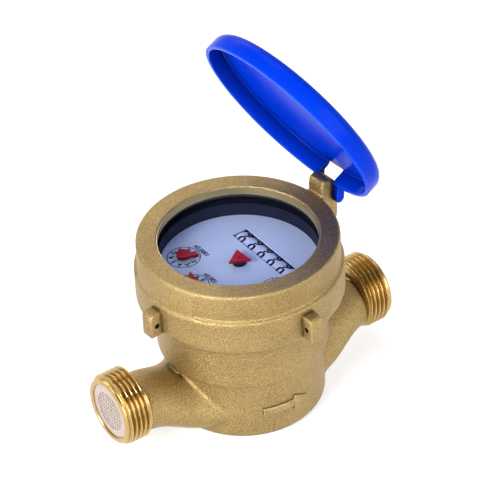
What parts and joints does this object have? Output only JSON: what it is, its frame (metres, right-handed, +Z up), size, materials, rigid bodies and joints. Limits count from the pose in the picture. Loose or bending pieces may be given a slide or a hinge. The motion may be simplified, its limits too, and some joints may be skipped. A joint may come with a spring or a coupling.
{
  "type": "water meter",
  "caption": "Brass multi-jet water meter with threaded ends, a screwed cover ring over a glazed register, an impeller, a gear train and a hinged blue plastic lid.",
  "frame": {"origin": "centre of the flat base under the pot", "axes": "+Z up along the register's axis, +X along the pipe in the flow direction, towards the outlet and the lid's hinge"},
  "size_m": [0.145, 0.1036, 0.1755],
  "materials": {
    "cast_brass": "sand cast and shot blasted",
    "sheet_brass": "turned",
    "white_plastic": "moulded",
    "grey_plastic": "moulded",
    "ivory_plastic": "moulded",
    "navy_plastic": "moulded",
    "red_plastic": "moulded",
    "blue_plastic": "moulded gloss",
    "steel": "drawn",
    "bush": "moulded",
    "magnet": "sintered",
    "rubber": "moulded",
    "dial": "printed sheet",
    "glass": "toughened"
  },
  "bodies": {
    "meter": {"body": "cast_brass", "inlet_strainer": "white_plastic", "basket_strainer": "white_plastic", "chamber_cup": "grey_plastic", "pivot_pin": "steel", "chamber_cover": "grey_plastic", "top_bush": "bush", "shield_ring": "steel", "plate_gasket": "rubber", "pressure_plate": "sheet_brass", "register_cup": "navy_plastic", "base_plate": "sheet_brass", "pillars": "sheet_brass", "counter_frame": "steel", "counter_shaft": "steel", "dial_plate": "dial", "glass": "glass", "glass_gasket": "rubber", "cover_ring": "cast_brass", "hinge_pin": "steel"},
    "impeller_set": {"impeller": "white_plastic", "impeller_magnet": "magnet"},
    "spindle": {"drive_spindle": "steel", "driven_magnet": "magnet", "leak_indicator": "red_plastic"},
    "train_a": {"gear_a": "ivory_plastic"},
    "train_b": {"gear_b": "ivory_plastic"},
    "train_1": {"gear_1": "ivory_plastic"},
    "train_2": {"gear_2": "ivory_plastic"},
    "train_3": {"gear_3": "ivory_plastic"},
    "hand_1": {"arbor_1": "ivory_plastic", "pointer_1": "red_plastic"},
    "hand_2": {"arbor_2": "ivory_plastic", "pointer_2": "red_plastic"},
    "hand_3": {"arbor_3": "ivory_plastic", "pointer_3": "red_plastic"},
    "hand_4": {"arbor_4": "ivory_plastic", "pointer_4": "red_plastic"},
    "number_1": {"number_wheel_1": "white_plastic"},
    "number_2": {"number_wheel_2": "white_plastic"},
    "number_3": {"number_wheel_3": "white_plastic"},
    "number_4": {"number_wheel_4": "white_plastic"},
    "number_5": {"number_wheel_5": "white_plastic"},
    "lid": {"lid": "blue_plastic"}
  },
  "joints": [
    {"name": "impeller_spin", "type": "hinge", "parent": "meter", "child": "impeller_set", "pos_m": [0, 0, 0.024], "axis": [0, 0, 1], "continuous": true},
    {"name": "spindle_spin", "type": "hinge", "parent": "meter", "child": "spindle", "pos_m": [0, 0, 0.06], "axis": [0, 0, 1], "continuous": true},
    {"name": "gear_a_spin", "type": "hinge", "parent": "meter", "child": "train_a", "pos_m": [-0.00393, 0.01081, 0.064], "axis": [0, 0, 1], "continuous": true},
    {"name": "gear_b_spin", "type": "hinge", "parent": "meter", "child": "train_b", "pos_m": [-0.007, 0.01927, 0.064], "axis": [0, 0, 1], "continuous": true},
    {"name": "hand_1_spin", "type": "hinge", "parent": "meter", "child": "hand_1", "pos_m": [-0.01673, 0.01858, 0.064], "axis": [0, 0, 1], "continuous": true},
    {"name": "gear_1_spin", "type": "hinge", "parent": "meter", "child": "train_1", "pos_m": [-0.01888, 0.00759, 0.064], "axis": [0, 0, 1], "continuous": true},
    {"name": "hand_2_spin", "type": "hinge", "parent": "meter", "child": "hand_2", "pos_m": [-0.025, 0, 0.064], "axis": [0, 0, 1], "continuous": true},
    {"name": "gear_2_spin", "type": "hinge", "parent": "meter", "child": "train_2", "pos_m": [-0.01827, -0.00895, 0.064], "axis": [0, 0, 1], "continuous": true},
    {"name": "hand_3_spin", "type": "hinge", "parent": "meter", "child": "hand_3", "pos_m": [-0.01673, -0.01858, 0.064], "axis": [0, 0, 1], "continuous": true},
    {"name": "gear_3_spin", "type": "hinge", "parent": "meter", "child": "train_3", "pos_m": [-0.00557, -0.01957, 0.064], "axis": [0, 0, 1], "continuous": true},
    {"name": "hand_4_spin", "type": "hinge", "parent": "meter", "child": "hand_4", "pos_m": [0.00261, -0.02486, 0.064], "axis": [0, 0, 1], "continuous": true},
    {"name": "number_1_spin", "type": "hinge", "parent": "meter", "child": "number_1", "pos_m": [0.0133, -0.0144, 0.0627], "axis": [0, 1, 0], "continuous": true},
    {"name": "number_2_spin", "type": "hinge", "parent": "meter", "child": "number_2", "pos_m": [0.0133, -0.0072, 0.0627], "axis": [0, 1, 0], "continuous": true},
    {"name": "number_3_spin", "type": "hinge", "parent": "meter", "child": "number_3", "pos_m": [0.0133, 0, 0.0627], "axis": [0, 1, 0], "continuous": true},
    {"name": "number_4_spin", "type": "hinge", "parent": "meter", "child": "number_4", "pos_m": [0.0133, 0.0072, 0.0627], "axis": [0, 1, 0], "continuous": true},
    {"name": "number_5_spin", "type": "hinge", "parent": "meter", "child": "number_5", "pos_m": [0.0133, 0.0144, 0.0627], "axis": [0, 1, 0], "continuous": true},
    {"name": "lid_hinge", "type": "hinge", "parent": "meter", "child": "lid", "pos_m": [0.05157, 0.00361, 0.0844], "axis": [-0.0698, 0.9976, 0], "range_deg": [-62.6, 40]}
  ],
  "couplings": [
    {"joint": "spindle_spin", "follows": "impeller_spin", "ratio": 1},
    {"joint": "gear_a_spin", "follows": "impeller_spin", "ratio": -0.27778},
    {"joint": "gear_b_spin", "follows": "impeller_spin", "ratio": 0.13889},
    {"joint": "hand_1_spin", "follows": "impeller_spin", "ratio": -0.041667},
    {"joint": "gear_1_spin", "follows": "impeller_spin", "ratio": 0.013889},
    {"joint": "hand_2_spin", "follows": "impeller_spin", "ratio": -0.0041667},
    {"joint": "gear_2_spin", "follows": "impeller_spin", "ratio": 0.0013889},
    {"joint": "hand_3_spin", "follows": "impeller_spin", "ratio": -0.00041667},
    {"joint": "gear_3_spin", "follows": "impeller_spin", "ratio": 0.00013889},
    {"joint": "hand_4_spin", "follows": "impeller_spin", "ratio": -0.000041667},
    {"joint": "number_2_spin", "follows": "number_1_spin", "ratio": 0.1},
    {"joint": "number_3_spin", "follows": "number_1_spin", "ratio": 0.01},
    {"joint": "number_4_spin", "follows": "number_1_spin", "ratio": 0.001},
    {"joint": "number_5_spin", "follows": "number_1_spin", "ratio": 0.0001}
  ]
}
